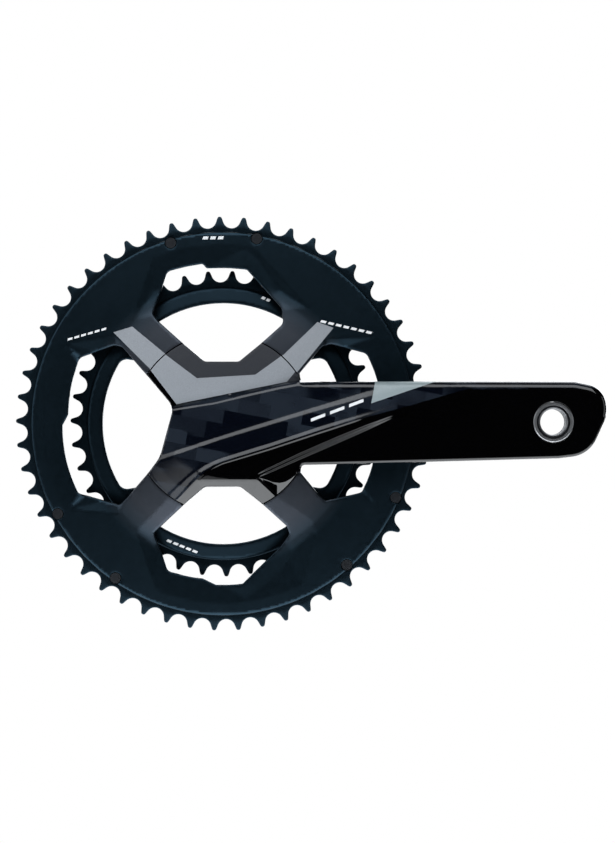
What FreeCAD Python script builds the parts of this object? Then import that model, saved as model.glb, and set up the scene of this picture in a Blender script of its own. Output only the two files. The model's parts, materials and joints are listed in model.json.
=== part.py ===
"""Drive-side bicycle crankset with its spindle and press-in bottom bracket.

Millimetres. The origin is the middle of the bottom bracket on the spindle axis.
+X runs along the crank arm, +Y runs along the spindle to the rider's left, +Z is up,
so the drive side faces -Y.
"""
import FreeCAD
import Part
import math
import os

V = FreeCAD.Vector
AXIS = V(0, 1, 0)

# chainrings
OUTER_TEETH = 53
INNER_TEETH = 39
RING_THICK = 2.2
OUTER_RING_Y = -47.0          # middle of the outer tooth band
INNER_RING_Y = -40.0          # middle of the inner tooth band
SEAT_RADIUS = 4.7             # chain roller seat
SEAT_ANGLE = 72.0             # half the seat arc, degrees
TIP_HALF_WIDTH = 0.75
OUTER_ROOT = 103.35
OUTER_TIP = 109.4
OUTER_PHASE = 2.36            # angle of the first outer tooth, degrees
INNER_ROOT = 75.05
INNER_TIP = 81.2
INNER_PHASE = 3.2
OUTER_BODY_R = 101.3          # where the thick ring body steps down to the teeth
OUTER_BODY_FRONT = -50.6
INNER_BODY_R = 72.4
INNER_EDGE_R = 63.9
WINDOW_NEAR_R = 81.8          # the two radii of the stepped window edges
WINDOW_FAR_R = 84.8

# chainring fastening
BOLT_ANGLES = (48.0, 132.0, 228.0, 312.0)
BOLT_CIRCLE_R = 55.0
BOLT_SHANK_R = 3.9
BOLT_HEAD_R = 6.0
BOLT_HEAD_THICK = 2.0
BOLT_SOCKET_ACROSS = 5.0
SEAM_R = 47.2                 # joint between the spider and the ring's covers
SEAM_GAP = 0.15
TAB_FRONT = -47.4             # spider tab, then inner ring tab, stacked along the bolt
TAB_BACK = -44.4
INNER_TAB_BACK = -41.3
TAB_HALF_WIDTH = 9.0
TAB_END = 62.0

# shift pins and chain catch pin
PIN_ANGLES = (79.3, 105.8, 208.4, 234.9, 311.0, 336.6)
PIN_CIRCLE_R = 99.2
PIN_HEAD_R = 2.8
PIN_TAIL_R = 3.4
PIN_TAIL_BACK = -43.6
CATCH_PIN_R = 98.0
CATCH_PIN_RADIUS = 2.4
CATCH_PIN_FRONT = -54.8
CATCH_COLLAR_R = 3.6
CATCH_COLLAR_THICK = 1.2

# crank arm
CRANK_LENGTH = 172.5
HUB_FRONT = -62.0
HUB_BACK = -46.6
HUB_BACK_R = 25.0
SEAM_FRONT = -54.2
ARM_OUTER_FACE = -73.0
ARM_INNER_FACE = -59.5
ARM_EDGE_CHAMFER = 3.0
PEDAL_HOLE_R = 6.7
PEDAL_BODY_R = 9.0
PEDAL_RIM_R = 10.4

# spindle and bottom bracket
SPINDLE_R = 15.0
SPINDLE_BORE_R = 12.0
SPINDLE_RIGHT = -58.0
SPINDLE_PLAIN_LEFT = 50.0
SPINDLE_LEFT = 66.0
SPLINE_COUNT = 16
SPLINE_R = 13.6
SPLINE_ROOT_R = 12.7
ARM_BOLT_R = 8.5
ARM_BOLT_LENGTH = 16.0
INSERT_R = 19.0
RUNNING = 0.02                # radial clearance of a part on the spindle
HOUSING_R = 23.0
HOUSING_HALF = 43.25
HOUSING_BORE_R = 19.5
FLANGE_R = 24.5
FLANGE_THICK = 1.2
BEARING_R = 21.0
BEARING_HALF = 3.5
BEARING_Y = 38.5              # bearing centres, right at -Y and left at +Y
BALL_R = 1.7
BALL_COUNT = 22
BALL_CIRCLE_R = 18.0
GROOVE_R = 1.8
INNER_RACE_R = 17.2
OUTER_RACE_R = 18.9
CAGE_INNER_R = 17.5
CAGE_OUTER_R = 18.6
CAGE_HALF = 2.2
SEAL_THICK = 0.4
SNAP_R = 21.6
SNAP_THICK = 0.8
SHIELD_R = 22.3
SHIELD_COLLAR_R = 17.4

EPS = 0.01


# ---------------------------------------------------------------- helpers

def polar(radius, degrees):
    a = math.radians(degrees)
    return radius * math.cos(a), radius * math.sin(a)


def at(point, y=0.0):
    return V(point[0], y, point[1])


def bow(radius, start, end):
    """The corner whose rounding follows a circle about the spindle axis."""
    half = math.radians(abs(end - start)) / 2
    x, z = polar(radius / math.cos(half), (start + end) / 2)
    return x, z, 0.9 * radius


def outline_face(corners, y=0.0):
    """A face across Y from (x, z) or (x, z, corner radius) points."""
    count = len(corners)
    ends = []
    for i in range(count):
        here = at(corners[i], y)
        radius = corners[i][2] if len(corners[i]) > 2 else 0.0
        back = (at(corners[i - 1], y) - here).normalize()
        ahead = (at(corners[(i + 1) % count], y) - here).normalize()
        if radius <= 0:
            ends.append((here, None, here))
            continue
        half = back.getAngle(ahead) / 2
        reach = radius / math.tan(half)
        bisector = (back + ahead).normalize()
        middle = here + bisector * (radius / math.sin(half) - radius)
        ends.append((here + back * reach, middle, here + ahead * reach))
    edges = []
    for i in range(count):
        start, middle, end = ends[i]
        if middle is not None:
            edges.append(Part.Arc(start, middle, end).toShape())
        following = ends[(i + 1) % count][0]
        if end.distanceToPoint(following) > EPS:
            edges.append(Part.makeLine(end, following))
    return Part.Face(Part.Wire(edges))


def slab(corners, y0, y1):
    return outline_face(corners, y0).extrude(V(0, y1 - y0, 0))


def turned(profile):
    """A solid turned about the spindle axis from (radius, y) points."""
    points = [V(r, y, 0) for r, y in profile]
    points.append(points[0])
    face = Part.Face(Part.makePolygon(points))
    return face.revolve(V(0, 0, 0), AXIS, 360)


def tube(r_out, r_in, y0, y1):
    return turned([(r_in, y0), (r_out, y0), (r_out, y1), (r_in, y1)])


def rod(x, z, radius, y0, y1):
    return Part.makeCylinder(radius, y1 - y0, V(x, y0, z), AXIS)


def spun(shape, degrees):
    """A copy turned about the spindle so that +X goes towards +Z."""
    copy = shape.copy()
    copy.rotate(V(0, 0, 0), AXIS, -degrees)
    return copy


def joined(shapes):
    return shapes[0].multiFuse(shapes[1:]).removeSplitter()


def group(shapes):
    return Part.makeCompound(shapes)


def toothed_disc(teeth, root, tip, phase, y_mid):
    """A disc with chain teeth, its tips thinned on both sides."""
    pitch = 360.0 / teeth
    edges = []
    previous = None
    first = None
    for k in range(teeth):
        gap = phase + (k + 0.5) * pitch
        centre = root + SEAT_RADIUS
        reach = math.radians(SEAT_ANGLE)
        radial = centre - SEAT_RADIUS * math.cos(reach)
        side = SEAT_RADIUS * math.sin(reach)
        start = at(polar(math.hypot(radial, side), gap - math.degrees(math.atan2(side, radial))))
        end = at(polar(math.hypot(radial, side), gap + math.degrees(math.atan2(side, radial))))
        bottom = at(polar(root, gap))
        tip_half = math.degrees(TIP_HALF_WIDTH / tip)
        tip_from = at(polar(tip, gap - pitch / 2 + tip_half))
        tip_to = at(polar(tip, gap + pitch / 2 - tip_half))
        if previous is not None:
            edges.append(Part.makeLine(previous, tip_from))
        else:
            first = tip_from
        edges.append(Part.makeLine(tip_from, start))
        edges.append(Part.Arc(start, bottom, end).toShape())
        edges.append(Part.makeLine(end, tip_to))
        previous = tip_to
    edges.append(Part.makeLine(previous, first))
    half = RING_THICK / 2
    disc = Part.Face(Part.Wire(edges))
    disc.translate(V(0, y_mid - half, 0))
    disc = disc.extrude(V(0, RING_THICK, 0))
    lens = turned([(0, y_mid - half), (root + 1.5, y_mid - half), (tip + 0.3, y_mid - 0.5),
                   (tip + 0.3, y_mid + 0.5), (root + 1.5, y_mid + half), (0, y_mid + half)])
    return disc.common(lens)


# ---------------------------------------------------------------- outlines

SEAM_CORNERS = {
    "right_top": (40.7, 26.4), "top_right": (20.9, 42.5),
    "top_left": (-20.5, 42.3), "left_top": (-40.2, 26.2),
    "left_low": (-39.9, -26.5), "low_left": (-21.1, -43.1),
    "low_right": (21.4, -43.0), "right_low": (41.1, -26.0),
}


def seam_arc(start, end, radius):
    """The seam between two corners of one spider arm."""
    a = math.degrees(math.atan2(start[1], start[0])) % 360
    b = math.degrees(math.atan2(end[1], end[0])) % 360
    count = 6
    return [polar(radius, a + (b - a) * i / count) for i in range(1, count)]


def ring_window_corners():
    """The outer ring's inner edge: four stepped windows between four covers."""
    s = SEAM_CORNERS
    top = [
        s["top_right"], (32.2, 52.6, 4.0), (31.2, 60.9, 4.0), (13.0, 81.2, 2.0),
        bow(WINDOW_NEAR_R, 82, 94), (-8.2, 82.0, 1.5), (-10.3, 84.4, 1.5),
        bow(WINDOW_FAR_R, 98, 108), (-28.9, 80.4, 3.5), (-32.5, 69.5, 12.0),
        (-36.8, 58.0, 2.5), (-33.8, 54.3), s["top_left"],
    ]
    left = [
        s["left_top"], (-52.8, 40.6, 3.0), (-57.0, 41.6, 4.0), (-75.6, 35.0, 4.0),
        bow(WINDOW_NEAR_R, 157, 176), (-81.6, 5.2, 1.5), (-84.6, -0.3, 2.0),
        bow(WINDOW_FAR_R, 181, 204), (-76.4, -36.3, 2.5), (-54.6, -42.6, 3.0),
        (-50.3, -38.4, 3.0), s["left_low"],
    ]
    low = [
        s["low_left"], (-33.6, -54.7), (-36.8, -57.5, 2.0), (-31.7, -70.6, 12.0),
        (-29.5, -77.6, 3.5), bow(WINDOW_NEAR_R + 0.6, 251, 262), (-10.6, -81.8, 2.0),
        (-4.1, -85.0, 2.0), bow(WINDOW_FAR_R + 0.2, 268, 276), (10.0, -84.5, 2.0),
        (30.2, -64.8, 4.0), (34.9, -58.4, 3.0), (33.2, -53.9, 2.0), s["low_right"],
    ]
    right = [
        s["right_low"], (51.0, -38.3, 3.0), (54.1, -41.0, 3.0), (73.2, -36.6, 3.0),
        bow(WINDOW_NEAR_R, -25, -6), (81.8, -3.0, 1.5), (84.6, 2.0, 2.0),
        bow(WINDOW_FAR_R, 4, 23), (76.0, 36.6, 4.0), (57.4, 41.6, 4.0),
        (52.6, 40.4, 3.0), s["right_top"],
    ]
    covers = SEAM_R + SEAM_GAP
    corners = top
    corners += seam_arc(s["top_left"], s["left_top"], covers) + left
    corners += seam_arc(s["left_low"], s["low_left"], covers) + low
    corners += seam_arc(s["low_right"], s["right_low"], covers) + right
    corners += seam_arc(s["right_top"], s["top_right"], covers)
    return corners


def spider_corners():
    """The hub and the four short spider arms, up to the seam."""
    s = SEAM_CORNERS
    end = SEAM_R - SEAM_GAP
    corners = [s["right_top"]]
    corners += seam_arc(s["right_top"], s["top_right"], end)
    corners += [s["top_right"], (8.8, 32.6, 3.0), (-9.2, 32.7, 3.0), s["top_left"]]
    corners += seam_arc(s["top_left"], s["left_top"], end)
    corners += [s["left_top"], (-25.6, 8.8, 8.0), (-33.0, -17.5, 20.0), s["left_low"]]
    corners += seam_arc(s["left_low"], s["low_left"], end)
    corners += [s["low_left"], (-9.3, -33.2, 4.0), (9.2, -33.2, 4.0), s["low_right"]]
    corners += seam_arc(s["low_right"], s["right_low"], end)
    corners += [s["right_low"]]
    return corners


ARM_CORNERS = [
    (10.0, 21.9), (10.0, -21.8), (60.0, -21.5, 20.0), (175.0, -18.9, 12.0),
    (191.0, -17.1, 16.0), (201.1, 4.7, 17.0), (198.5, 17.8, 11.5), (184.0, 20.9, 15.0),
    (120.0, 21.4, 20.0),
]

# the arm from above: outer face out, inner face back, as (x, y)
ARM_SIDE = [
    (-12.0, HUB_BACK), (44.0, HUB_BACK), (52.0, -56.0), (110.0, -57.5), (145.0, ARM_INNER_FACE),
    (202.0, ARM_INNER_FACE), (202.0, ARM_OUTER_FACE), (160.0, ARM_OUTER_FACE), (110.0, -70.3),
    (75.0, -67.0), (40.0, -63.5), (-12.0, -61.5),
]


# ---------------------------------------------------------------- crank

def crank_arm():
    spider = slab(spider_corners(), HUB_FRONT - 1, TAB_FRONT)
    dome = turned([(0, HUB_FRONT), (16, HUB_FRONT + 0.6), (SEAM_R + 2.5, SEAM_FRONT),
                   (SEAM_R + 2.5, TAB_FRONT), (0, TAB_FRONT)])
    spider = spider.common(dome)
    arm = slab(ARM_CORNERS, ARM_OUTER_FACE - 1, HUB_BACK)
    side = Part.Face(Part.makePolygon([V(x, y, -40) for x, y in ARM_SIDE + ARM_SIDE[:1]]))
    arm = arm.common(side.extrude(V(0, 0, 80)))
    arm = arm.common(bevelled_bar())
    boss = rod(0, 0, HUB_BACK_R, SEAM_FRONT - 3, HUB_BACK)
    tabs = [spun(spider_tab(), angle) for angle in BOLT_ANGLES]
    body = joined([spider, arm, boss] + tabs)
    holes = [rod(*polar(BOLT_CIRCLE_R, a), BOLT_SHANK_R + 0.2, -50, -40) for a in BOLT_ANGLES]
    holes.append(rod(0, 0, INSERT_R, HUB_FRONT + 3.2, HUB_BACK + 1))
    holes.append(rod(CRANK_LENGTH, 0, PEDAL_BODY_R, ARM_OUTER_FACE - 1, ARM_INNER_FACE + 1))
    holes.append(rod(CRANK_LENGTH, 0, PEDAL_RIM_R, ARM_OUTER_FACE - 1, ARM_OUTER_FACE + 1.5))
    return body.cut(Part.makeCompound(holes))


def bevelled_bar():
    """A bar along X whose long outer edges are bevelled."""
    half = 21.9
    bevel = ARM_EDGE_CHAMFER
    section = []
    for x in (-12.0, 202.0):
        front = ARM_OUTER_FACE - 1
        loop = [(half, HUB_BACK), (half, front + 3 * bevel), (half - bevel, front),
                (-half + bevel, front), (-half, front + 3 * bevel), (-half, HUB_BACK)]
        points = [V(x, y, z) for z, y in loop]
        section.append(Part.makePolygon(points + points[:1]))
    return Part.makeLoft(section, True)


def spider_tab():
    w = TAB_HALF_WIDTH
    return slab([(30, -w), (30, w), (TAB_END, w, 6.0), (TAB_END, -w, 6.0)], TAB_FRONT, TAB_BACK)


def hub_insert():
    """Sleeve bonded in the hub, around the end of the spindle."""
    bore = SPINDLE_R + RUNNING
    return turned([(bore, SPINDLE_RIGHT), (INSERT_R, SPINDLE_RIGHT), (INSERT_R, HUB_BACK + 0.2),
                   (bore + 1, HUB_BACK + 0.2), (bore, HUB_BACK - 0.6)])


def pedal_insert():
    outer = ARM_OUTER_FACE - 0.35
    inner = ARM_INNER_FACE + 0.3
    profile = [
        (PEDAL_HOLE_R + 0.6, inner), (PEDAL_BODY_R, inner), (PEDAL_BODY_R, ARM_OUTER_FACE + 1.5),
        (PEDAL_RIM_R, ARM_OUTER_FACE + 1.5), (PEDAL_RIM_R, outer + 0.35), (PEDAL_RIM_R - 0.4, outer),
        (8.7, outer), (8.7, outer + 1.0), (7.9, outer + 1.0), (PEDAL_HOLE_R, outer + 2.2),
        (PEDAL_HOLE_R, inner - 0.6),
    ]
    body = turned(profile)
    body.translate(V(CRANK_LENGTH, 0, 0))
    return body


def spindle():
    profile = [
        (SPINDLE_BORE_R, SPINDLE_RIGHT), (SPINDLE_R, SPINDLE_RIGHT), (SPINDLE_R, SPINDLE_PLAIN_LEFT),
        (SPLINE_R + 0.4, SPINDLE_PLAIN_LEFT + 1), (SPLINE_R, SPINDLE_PLAIN_LEFT + 1),
        (SPLINE_R, SPINDLE_LEFT - 1), (SPLINE_R - 1, SPINDLE_LEFT),
        (ARM_BOLT_R + 1, SPINDLE_LEFT), (ARM_BOLT_R, SPINDLE_LEFT - 1),
        (ARM_BOLT_R, SPINDLE_LEFT - ARM_BOLT_LENGTH),
        (SPINDLE_BORE_R, SPINDLE_LEFT - ARM_BOLT_LENGTH - 5),
    ]
    body = turned(profile)
    groove = rod(SPLINE_ROOT_R + 1.0, 0, 1.0, SPINDLE_PLAIN_LEFT + 1.5, SPINDLE_LEFT + 1)
    step = 360.0 / SPLINE_COUNT
    return body.cut(Part.makeCompound([spun(groove, i * step) for i in range(SPLINE_COUNT)]))


def outer_chainring():
    half = RING_THICK / 2
    back = OUTER_RING_Y + half
    teeth = toothed_disc(OUTER_TEETH, OUTER_ROOT, OUTER_TIP, OUTER_PHASE, OUTER_RING_Y)
    body = turned([
        (0, SEAM_FRONT), (SEAM_R, SEAM_FRONT), (72, -51.8), (OUTER_BODY_R - 1.2, OUTER_BODY_FRONT),
        (OUTER_BODY_R, OUTER_BODY_FRONT + 1.0), (OUTER_BODY_R, back), (86, back),
        (86, TAB_FRONT - EPS), (0, TAB_FRONT - EPS),
    ])
    centre = rod(0, 0, 90.0, TAB_FRONT - EPS, back + 1)
    ring = joined([teeth.cut(centre), body])
    ring = ring.cut(slab(ring_window_corners(), -60, -40))
    holes = [rod(*polar(BOLT_CIRCLE_R, a), BOLT_SHANK_R, -51.4, -40) for a in BOLT_ANGLES]
    holes += [rod(*polar(PIN_CIRCLE_R, a), PIN_HEAD_R, -52, -43) for a in PIN_ANGLES]
    holes.append(rod(CATCH_PIN_R, 0, CATCH_PIN_RADIUS, -52, -43))
    return ring.cut(Part.makeCompound(holes))


def inner_tab(mirror):
    """One fastening tab; its wide root faces the side windows."""
    half = [(68, 19.8), (61.3, 16.2, 5.0), (52, 8.8, 4.0), (46.5, 6.2, 4.0),
            (46.5, -6.2, 4.0), (52, -8.8, 4.0), (60.5, -9.6, 2.0), (68, -10.4)]
    corners = [(c[0], c[1] * mirror) + tuple(c[2:]) for c in half]
    return slab(corners, TAB_BACK + EPS, INNER_TAB_BACK)


def inner_chainring():
    half = RING_THICK / 2
    teeth = toothed_disc(INNER_TEETH, INNER_ROOT, INNER_TIP, INNER_PHASE, INNER_RING_Y)
    teeth = teeth.cut(rod(0, 0, INNER_EDGE_R, -50, -30))
    body = turned([
        (INNER_EDGE_R, TAB_BACK + 1.2), (INNER_EDGE_R + 1, TAB_BACK + 0.6), (INNER_BODY_R - 0.8, -42.6),
        (INNER_BODY_R, -41.8), (INNER_BODY_R, INNER_RING_Y + half), (INNER_EDGE_R, INNER_RING_Y + half),
    ])
    tabs = [spun(inner_tab(m), a) for a, m in zip(BOLT_ANGLES, (-1, 1, -1, 1))]
    ring = joined([teeth, body] + tabs)
    holes = [rod(*polar(BOLT_CIRCLE_R, a), BOLT_SHANK_R + 0.2, -50, -36) for a in BOLT_ANGLES]
    return ring.cut(Part.makeCompound(holes))


def chainring_bolt(x, z):
    shank = rod(x, z, BOLT_SHANK_R - RUNNING, -51.0, INNER_TAB_BACK)
    head = rod(x, z, BOLT_HEAD_R, INNER_TAB_BACK, INNER_TAB_BACK + BOLT_HEAD_THICK)
    across = BOLT_SOCKET_ACROSS / math.sqrt(3)
    corners = [(x + polar(across, 60 * i)[0], z + polar(across, 60 * i)[1]) for i in range(6)]
    socket = slab(corners, INNER_TAB_BACK - 2.0, INNER_TAB_BACK + BOLT_HEAD_THICK + 1)
    return joined([shank, head]).cut(socket)


def shift_pin(x, z):
    head = rod(x, z, PIN_HEAD_R - RUNNING, OUTER_BODY_FRONT - 0.35, OUTER_RING_Y + 1.1)
    tail = rod(x, z, PIN_TAIL_R, OUTER_RING_Y + 1.1, PIN_TAIL_BACK)
    return joined([head, tail])


def chain_catch_pin():
    stem = rod(CATCH_PIN_R, 0, CATCH_PIN_RADIUS - RUNNING, CATCH_PIN_FRONT, OUTER_RING_Y + 1.1)
    seat = OUTER_BODY_FRONT - 0.6
    collar = rod(CATCH_PIN_R, 0, CATCH_COLLAR_R, seat - CATCH_COLLAR_THICK, seat)
    return joined([stem, collar])


# ---------------------------------------------------------------- bottom bracket

def bearing_housing():
    seat = BEARING_Y - BEARING_HALF
    mouth = BEARING_Y + BEARING_HALF
    body = turned([
        (HOUSING_BORE_R, -seat), (BEARING_R, -seat), (BEARING_R, -HOUSING_HALF - FLANGE_THICK),
        (FLANGE_R, -HOUSING_HALF - FLANGE_THICK), (FLANGE_R, -HOUSING_HALF), (HOUSING_R, -HOUSING_HALF),
        (HOUSING_R, HOUSING_HALF), (BEARING_R, HOUSING_HALF), (BEARING_R, seat), (HOUSING_BORE_R, seat),
    ])
    grooves = [tube(SNAP_R, BEARING_R - 1, side * mouth, side * (mouth + SNAP_THICK)) for side in (-1, 1)]
    return body.cut(Part.makeCompound(grooves))


def snap_ring(side):
    y = side * (BEARING_Y + BEARING_HALF)
    ring = tube(SNAP_R, 19.8, y, y + side * SNAP_THICK)
    gap = Part.makeBox(5.0, 4.0, 6.0, V(-2.5, y - 2.0, 17.5))
    return ring.cut(gap)


def groove(y):
    return Part.makeTorus(BALL_CIRCLE_R, GROOVE_R, V(0, y, 0), AXIS)


def outer_race(y):
    return tube(BEARING_R, OUTER_RACE_R, y - BEARING_HALF, y + BEARING_HALF).cut(groove(y))


def inner_race(y):
    bore = SPINDLE_R + RUNNING
    return tube(INNER_RACE_R, bore, y - BEARING_HALF, y + BEARING_HALF).cut(groove(y))


def balls(y):
    step = 360.0 / BALL_COUNT
    ball = Part.makeSphere(BALL_R, V(BALL_CIRCLE_R, y, 0))
    return group([spun(ball, i * step) for i in range(BALL_COUNT)])


def cage(y):
    """A thin band with a round window for each ball."""
    band = tube(CAGE_OUTER_R, CAGE_INNER_R, y - CAGE_HALF, y + CAGE_HALF)
    window = Part.makeCylinder(BALL_R + 0.05, 6.0, V(CAGE_INNER_R - 2, y, 0), V(1, 0, 0))
    step = 360.0 / BALL_COUNT
    return band.cut(Part.makeCompound([spun(window, i * step) for i in range(BALL_COUNT)]))


def bearing_seals():
    seals = []
    for centre in (-BEARING_Y, BEARING_Y):
        for face in (-1, 1):
            y = centre + face * (BEARING_HALF - SEAL_THICK)
            seals.append(tube(OUTER_RACE_R, INNER_RACE_R + 0.3, y, y + face * SEAL_THICK))
    return group(seals)


def dust_shield(side, outer_face):
    """Disc on the spindle whose collar presses on the inner race."""
    race = side * (BEARING_Y + BEARING_HALF)
    disc = side * (HOUSING_HALF + FLANGE_THICK + 0.5)
    bore = SPINDLE_R + RUNNING
    profile = [
        (bore, race), (SHIELD_COLLAR_R, race), (SHIELD_COLLAR_R, disc), (SHIELD_R, disc),
        (SHIELD_R, outer_face - side * 0.4), (SHIELD_R - 0.5, outer_face), (bore, outer_face),
    ]
    return turned(profile)


# ---------------------------------------------------------------- output

def build():
    bolts = [chainring_bolt(*polar(BOLT_CIRCLE_R, a)) for a in BOLT_ANGLES]
    pins = [shift_pin(*polar(PIN_CIRCLE_R, a)) for a in PIN_ANGLES]
    return {
        "crank_arm": crank_arm(),
        "hub_insert": hub_insert(),
        "pedal_insert": pedal_insert(),
        "spindle": spindle(),
        "outer_chainring": outer_chainring(),
        "inner_chainring": inner_chainring(),
        "chainring_bolts": group(bolts),
        "shift_pins": group(pins),
        "chain_catch_pin": chain_catch_pin(),
        "right_dust_shield": dust_shield(-1, HUB_BACK + 0.2),
        "left_dust_shield": dust_shield(1, 46.4),
        "bearing_housing": bearing_housing(),
        "snap_rings": group([snap_ring(-1), snap_ring(1)]),
        "right_outer_race": outer_race(-BEARING_Y),
        "left_outer_race": outer_race(BEARING_Y),
        "right_inner_race": inner_race(-BEARING_Y),
        "left_inner_race": inner_race(BEARING_Y),
        "right_balls": balls(-BEARING_Y),
        "left_balls": balls(BEARING_Y),
        "right_cage": cage(-BEARING_Y),
        "left_cage": cage(BEARING_Y),
        "bearing_seals": bearing_seals(),
    }


def main():
    os.makedirs("parts", exist_ok=True)
    for name, shape in build().items():
        shape.exportStep("parts/" + name + ".step")
        print(name, round(shape.Volume), "mm3,", len(shape.Solids), "solids, valid", shape.isValid())


main()
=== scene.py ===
"""Looks of a drive-side bicycle crankset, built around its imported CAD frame.

Outlines and heights are in millimetres in the frame of the part: X along the crank arm,
Y along the spindle (the drive side faces -Y), Z up. A height is the distance of a surface
in front of the bottom bracket's middle, so a point of height h lies at y = -h.
"""
import json
import math

import bpy
import numpy as np
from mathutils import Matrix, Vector, kdtree
from mathutils.geometry import delaunay_2d_cdt


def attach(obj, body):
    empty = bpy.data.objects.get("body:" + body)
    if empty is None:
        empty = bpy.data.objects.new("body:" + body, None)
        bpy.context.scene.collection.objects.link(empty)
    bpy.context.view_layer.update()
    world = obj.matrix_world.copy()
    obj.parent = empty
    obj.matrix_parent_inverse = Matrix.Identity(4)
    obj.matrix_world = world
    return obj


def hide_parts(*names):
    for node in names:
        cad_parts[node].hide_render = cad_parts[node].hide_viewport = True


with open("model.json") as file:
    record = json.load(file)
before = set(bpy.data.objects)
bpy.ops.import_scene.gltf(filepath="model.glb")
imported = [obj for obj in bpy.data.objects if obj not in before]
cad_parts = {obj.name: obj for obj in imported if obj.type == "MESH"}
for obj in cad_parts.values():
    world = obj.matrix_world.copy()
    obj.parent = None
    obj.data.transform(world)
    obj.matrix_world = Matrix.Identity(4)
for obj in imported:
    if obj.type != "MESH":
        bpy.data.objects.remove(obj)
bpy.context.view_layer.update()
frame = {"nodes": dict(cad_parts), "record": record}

MM = 0.001

# ------------------------------------------------------------ sizes, as in the CAD part

OUTER_TEETH = 53
INNER_TEETH = 39
OUTER_ROOT = 103.35
OUTER_TIP = 109.4
OUTER_PHASE = 2.36
INNER_ROOT = 75.05
INNER_TIP = 81.2
INNER_PHASE = 3.2
SEAT_RADIUS = 4.7
SEAT_ANGLE = 72.0
TIP_HALF_WIDTH = 0.75
OUTER_BODY_R = 101.3
INNER_BODY_R = 72.4
INNER_EDGE_R = 63.9
WINDOW_NEAR_R = 81.8
WINDOW_FAR_R = 84.8
SEAM_R = 47.2
SEAM_GAP = 0.15
BOLT_ANGLES = (48.0, 132.0, 228.0, 312.0)
BOLT_CIRCLE_R = 55.0
BOLT_HOLE_R = 4.1
PIN_ANGLES = (79.3, 105.8, 208.4, 234.9, 311.0, 336.6)
PIN_CIRCLE_R = 99.2
PIN_HOLE_R = 3.0
CRANK_LENGTH = 172.5
PEDAL_RIM_R = 10.4
HUB_BACK_R = 25.0

# heights of the flat levels
RING_BAND_FRONT = 48.1
RING_TIP_FRONT = 47.55
RING_TIP_BACK = 46.45
RING_BACK = 45.9
COVER_BACK = 47.4
COVER_LOWEST = 48.6           # the covers' fronts stay above the bolts' ends
TAB_BACK = 44.4
INNER_BAND_FRONT = 41.1
INNER_TIP_FRONT = 40.55
INNER_TIP_BACK = 39.45
INNER_BACK = 38.9
INNER_TAB_BACK = 41.3
HUB_BACK = 46.6
ARM_OUTER_FACE = 73.0
ARM_INNER_FACE = 59.5


# ------------------------------------------------------------ plane geometry

def polar(radius, degrees):
    a = math.radians(degrees)
    return radius * math.cos(a), radius * math.sin(a)


def unit(v):
    return v / np.linalg.norm(v)


def bow(radius, start, end):
    """The corner whose rounding follows a circle about the spindle axis."""
    half = math.radians(abs(end - start)) / 2
    x, z = polar(radius / math.cos(half), (start + end) / 2)
    return x, z, 0.9 * radius


def rounded(corners, step=0.8):
    """Evenly divided points round a polygon whose (x, z, radius) corners are rounded."""
    points = []
    count = len(corners)
    for i, corner in enumerate(corners):
        here = np.array(corner[:2], float)
        radius = corner[2] if len(corner) > 2 else 0.0
        if radius <= 0:
            points.append(here)
            continue
        back = unit(np.array(corners[i - 1][:2], float) - here)
        ahead = unit(np.array(corners[(i + 1) % count][:2], float) - here)
        half = math.acos(float(np.clip(back @ ahead, -1, 1))) / 2
        centre = here + unit(back + ahead) * radius / math.sin(half)
        reach = radius / math.tan(half)
        first = here + back * reach - centre
        last = here + ahead * reach - centre
        start = math.atan2(first[1], first[0])
        sweep = (math.atan2(last[1], last[0]) - start + math.pi) % (2 * math.pi) - math.pi
        pieces = max(3, math.ceil(abs(sweep) * radius / step))
        for j in range(pieces + 1):
            a = start + sweep * j / pieces
            points.append(centre + radius * np.array([math.cos(a), math.sin(a)]))
    return divided(points, step)


def divided(points, step):
    """The closed loop with its long straight stretches cut into steps."""
    result = []
    for i, here in enumerate(points):
        ahead = points[(i + 1) % len(points)]
        length = float(np.linalg.norm(ahead - here))
        if length < 1e-4:
            continue
        pieces = max(1, math.ceil(length / step))
        result += [here + (ahead - here) * j / pieces for j in range(pieces)]
    return np.array(result)


def polyline(points, step=0.8):
    """An open run of straight stretches cut into steps."""
    points = [np.array(p, float) for p in points]
    result = []
    for here, ahead in zip(points, points[1:]):
        pieces = max(1, math.ceil(float(np.linalg.norm(ahead - here)) / step))
        result += [here + (ahead - here) * j / pieces for j in range(pieces)]
    return np.array(result + [points[-1]])


def circle(radius, x=0.0, z=0.0, step=0.8, least=24):
    count = max(least, math.ceil(2 * math.pi * radius / step))
    a = np.arange(count) * 2 * math.pi / count
    return np.stack([x + radius * np.cos(a), z + radius * np.sin(a)], axis=1)


def closed_circle(radius):
    points = circle(radius)
    return np.concatenate([points, points[:1]])


def turned_points(points, degrees):
    """Corner tuples (u along the direction, v across it) turned to that direction."""
    c, s = polar(1.0, degrees)
    return [(p[0] * c - p[1] * s, p[0] * s + p[1] * c) + tuple(p[2:]) for p in points]


def area(loop):
    x, z = loop[:, 0], loop[:, 1]
    return 0.5 * float(np.sum(x * np.roll(z, -1) - np.roll(x, -1) * z))


def inside(points, loops):
    """Even-odd test of many points against closed loops."""
    order = np.argsort(points[:, 1])
    x, z = points[order, 0], points[order, 1]
    odd = np.zeros(len(points), bool)
    for loop in loops:
        for (ax, az), (bx, bz) in zip(loop, np.roll(loop, -1, axis=0)):
            first, last = np.searchsorted(z, (min(az, bz), max(az, bz)))
            if last > first:
                reach = (bx - ax) * (z[first:last] - az) / (bz - az) + ax
                odd[first:last] ^= x[first:last] < reach
    result = np.zeros(len(points), bool)
    result[order] = odd
    return result


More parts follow.
